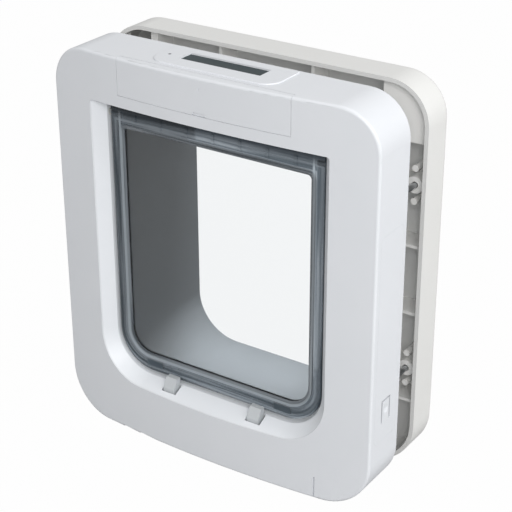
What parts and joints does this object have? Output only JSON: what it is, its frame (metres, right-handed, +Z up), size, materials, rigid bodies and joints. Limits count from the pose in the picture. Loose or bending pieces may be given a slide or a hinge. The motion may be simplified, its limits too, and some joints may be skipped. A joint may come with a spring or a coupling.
{
  "type": "cat flap",
  "caption": "Electronic cat flap: bowed white indoor housing with a framed clear flap, lock catches, battery bays and a screen, a grey tunnel through the door and a ribbed outdoor frame",
  "frame": {"origin": "middle of the bounding box at its bottom, where both frames end", "axes": "X to the right seen from indoors, Y from indoors to outdoors, Z up"},
  "size_m": [0.262, 0.12, 0.2963],
  "materials": {
    "white": "satin",
    "tunnel_grey": "satin",
    "rim_grey": "smoked, glossy",
    "clear": "clear",
    "catch_grey": "satin",
    "acetal": "smooth",
    "steel": "plain",
    "magnet": "plated",
    "screen": "dark",
    "light": "clear dark",
    "board": "lacquered",
    "dark": "moulded",
    "button": "satin",
    "cell": "printed sleeve",
    "coil": "enamelled wire"
  },
  "bodies": {
    "housing": {"front_frame": "white", "cover_pins": "steel", "display_panel": "white", "lcd_screen": "screen", "status_light": "light", "display_board": "board", "battery_cover_left": "white", "battery_cover_right": "white", "battery_box_left": "dark", "battery_box_right": "dark", "battery_cell_1": "cell", "battery_cell_2": "cell", "battery_cell_3": "cell", "battery_cell_4": "cell", "battery_contacts": "steel", "hinge_bush_left": "acetal", "hinge_bush_right": "acetal", "sill_magnets": "magnet", "catch_spring_left": "steel", "catch_spring_right": "steel", "lock_motor": "steel", "motor_bracket": "dark", "tunnel_neck": "tunnel_grey", "tunnel": "tunnel_grey", "antenna_coil": "coil", "back_plate": "white", "housing_screws": "steel", "control_tray": "white", "rear_frame": "white", "rear_collar": "white", "rear_ribs": "white", "fixing_screws": "steel", "screw_caps": "white", "circuit_board": "board", "key_switches": "dark"},
    "flap": {"flap_rim": "rim_grey", "flap_pane": "clear", "flap_magnets": "magnet", "hinge_pin_left": "steel", "hinge_pin_right": "steel"},
    "control_cover": {"control_cover": "white"},
    "button_left": {"button_left": "button"},
    "button_middle": {"button_middle": "button"},
    "button_right": {"button_right": "button"},
    "lock_bar": {"lock_bar": "acetal"},
    "catch_left": {"catch_left": "catch_grey"},
    "catch_right": {"catch_right": "catch_grey"},
    "lock_pinion": {"lock_pinion": "acetal", "motor_shaft": "steel"}
  },
  "joints": [
    {"name": "flap_swing", "type": "hinge", "parent": "housing", "child": "flap", "pos_m": [0, -0.041, 0.249], "axis": [1, 0, 0], "range_deg": [-80, 80]},
    {"name": "cover_lift", "type": "hinge", "parent": "housing", "child": "control_cover", "pos_m": [0, -0.0552, 0.2933], "axis": [-1, 0, 0], "range_deg": [0, 100]},
    {"name": "press_left", "type": "slide", "parent": "housing", "child": "button_left", "axis": [0, 1, 0], "range_m": [0, 0.001], "stiffness_N_per_m": 400},
    {"name": "press_middle", "type": "slide", "parent": "housing", "child": "button_middle", "axis": [0, 1, 0], "range_m": [0, 0.001], "stiffness_N_per_m": 400},
    {"name": "press_right", "type": "slide", "parent": "housing", "child": "button_right", "axis": [0, 1, 0], "range_m": [0, 0.001], "stiffness_N_per_m": 400},
    {"name": "lock_slide", "type": "slide", "parent": "housing", "child": "lock_bar", "axis": [1, 0, 0], "range_m": [0, 0.008]},
    {"name": "catch_drop_left", "type": "slide", "parent": "housing", "child": "catch_left", "axis": [0, 0, 1], "range_m": [-0.008, 0], "stiffness_N_per_m": 120, "springref_m": 0.004, "deforming": ["catch_spring_left"]},
    {"name": "catch_drop_right", "type": "slide", "parent": "housing", "child": "catch_right", "axis": [0, 0, 1], "range_m": [-0.008, 0], "stiffness_N_per_m": 120, "springref_m": 0.004, "deforming": ["catch_spring_right"]},
    {"name": "pinion_spin", "type": "hinge", "parent": "housing", "child": "lock_pinion", "pos_m": [0, -0.0436, 0.0136], "axis": [0, 1, 0], "range_deg": [0, 96]}
  ],
  "couplings": [
    {"joint": "catch_drop_left", "follows": "lock_slide", "ratio": -1},
    {"joint": "catch_drop_right", "follows": "lock_slide", "ratio": -1},
    {"joint": "pinion_spin", "follows": "lock_slide", "rad_per_m": 208.33}
  ]
}
